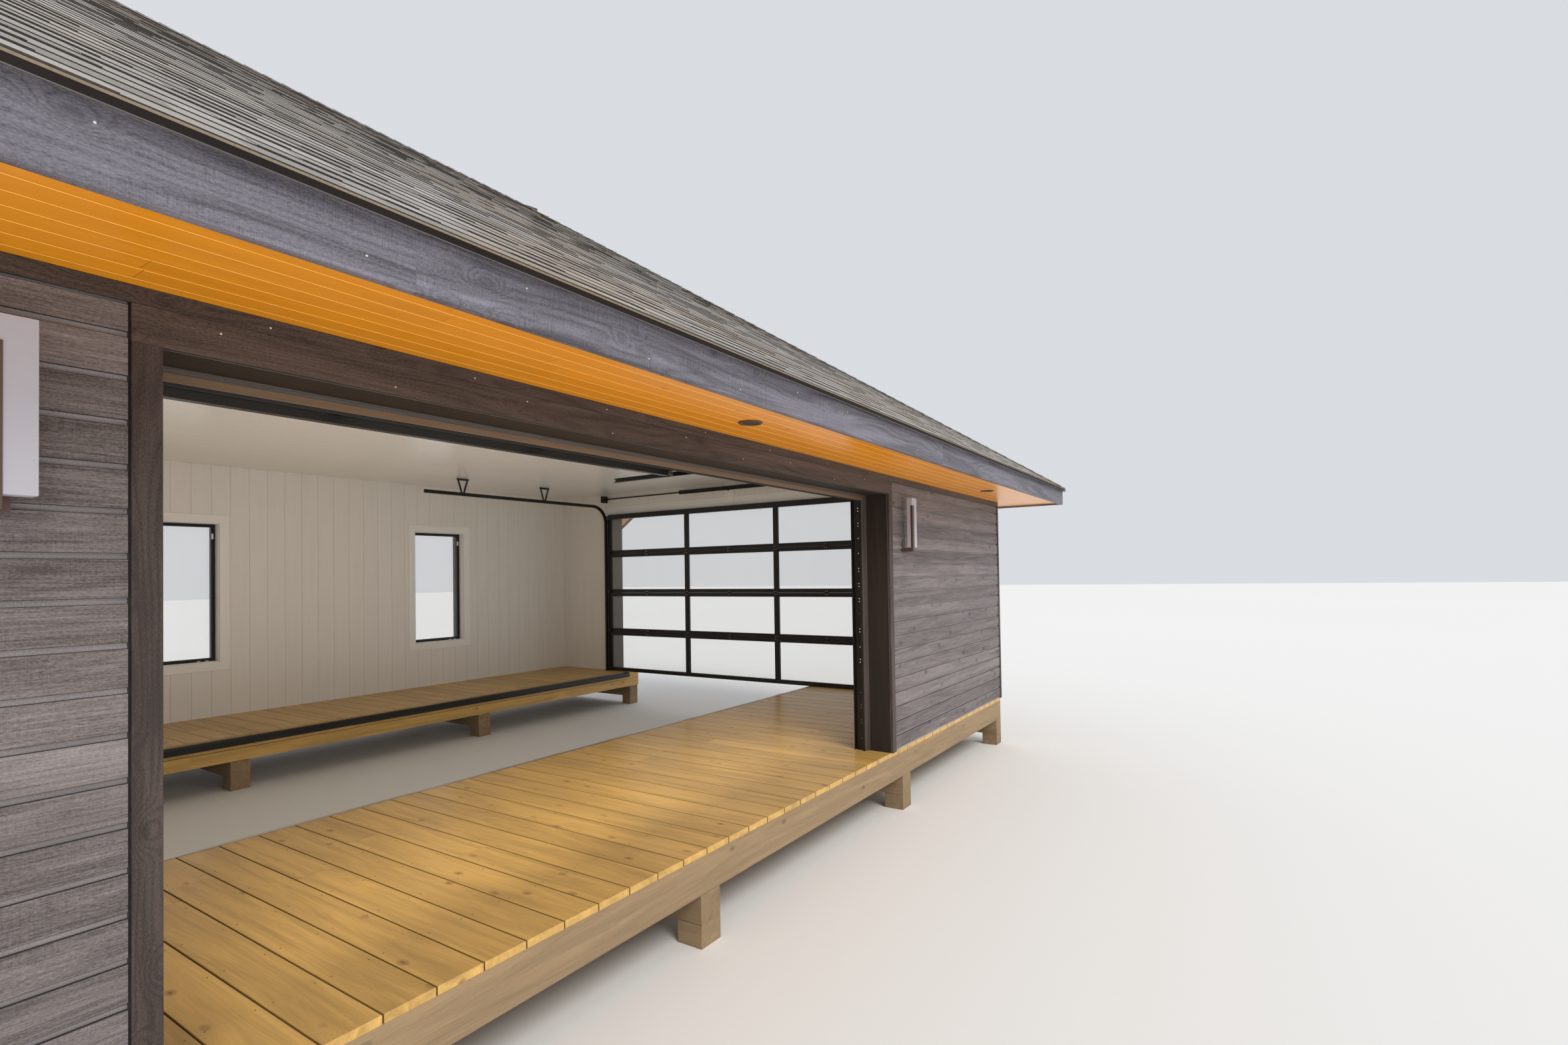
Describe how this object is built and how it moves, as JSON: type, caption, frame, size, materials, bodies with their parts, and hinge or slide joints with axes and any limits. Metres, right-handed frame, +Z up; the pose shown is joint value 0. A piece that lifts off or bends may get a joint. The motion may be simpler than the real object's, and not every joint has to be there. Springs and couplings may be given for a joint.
{
  "type": "boathouse",
  "caption": "Timber boathouse on posts with a hipped roof, a deck round an inner boat slip, a wide open patio front and a glazed overhead boat door.",
  "frame": {"origin": "centre of the building's plan at the waterline, where the posts end", "axes": "+X along the building towards the boat door, +Y across it towards the back wall, +Z up; the patio opening faces -Y"},
  "size_m": [14.046, 9.986, 6.7129],
  "materials": {
    "structural_timber": "rough sawn, weathered",
    "deck_boards": "matt oiled, brushed along the board",
    "black_rubber": "matt",
    "dark_siding": "matt dark stain with faint grain",
    "dark_trim": "matt dark stain",
    "dark_fascia": "dark stain with open grain and knots",
    "white_lining": "satin white paint",
    "jamb_timber": "dark brown satin stain",
    "soffit_timber": "clear satin over cedar",
    "shingles": "mineral granules",
    "black_metal": "satin powder coat",
    "zinc_steel": "zinc plated",
    "clear_glass": "polished",
    "bronze_metal": "satin bronze",
    "white_diffuser": "frosted",
    "white_plastic": "smooth"
  },
  "bodies": {
    "root": {"front_posts_and_beams": "structural_timber", "back_posts_and_beams": "structural_timber", "near_posts_and_beams": "structural_timber", "front_deck_frame": "structural_timber", "back_deck_frame": "structural_timber", "near_deck_frame": "structural_timber", "front_deck": "deck_boards", "back_deck": "deck_boards", "near_deck": "deck_boards", "slip_edge_boards": "deck_boards", "slip_bumper": "black_rubber", "front_wall_left": "dark_siding", "front_wall_right": "dark_siding", "front_wall_header": "dark_siding", "back_wall": "dark_siding", "near_end_wall": "dark_siding", "boat_end_wall_front": "dark_siding", "boat_end_wall_back": "dark_siding", "boat_end_gable_wall": "dark_siding", "ceiling": "white_lining", "roof_front": "shingles", "roof_back": "shingles", "roof_near_end": "shingles", "roof_boat_end": "shingles", "roof_gable": "shingles", "hip_and_ridge_caps": "shingles", "fascia_boards": "dark_fascia", "soffit_panels": "soffit_timber", "drip_edge": "black_metal", "frieze_and_corner_trim": "dark_trim", "patio_casing": "dark_trim", "patio_jamb": "jamb_timber", "boat_casing": "dark_trim", "boat_jamb": "dark_trim", "window_frames": "black_metal", "window_glass": "clear_glass", "window_casings": "white_lining", "boat_door_sections": "black_metal", "boat_door_glass": "clear_glass", "boat_door_hinges": "zinc_steel", "boat_tracks": "black_metal", "boat_torsion_shaft": "black_metal", "patio_door_sections": "black_metal", "patio_door_glass": "clear_glass", "patio_door_hinges": "zinc_steel", "patio_tracks": "black_metal", "patio_torsion_shaft": "black_metal", "sconce_bodies": "bronze_metal", "sconce_lights": "white_diffuser", "soffit_lights": "white_diffuser", "outlets": "white_plastic"}
  },
  "joints": []
}
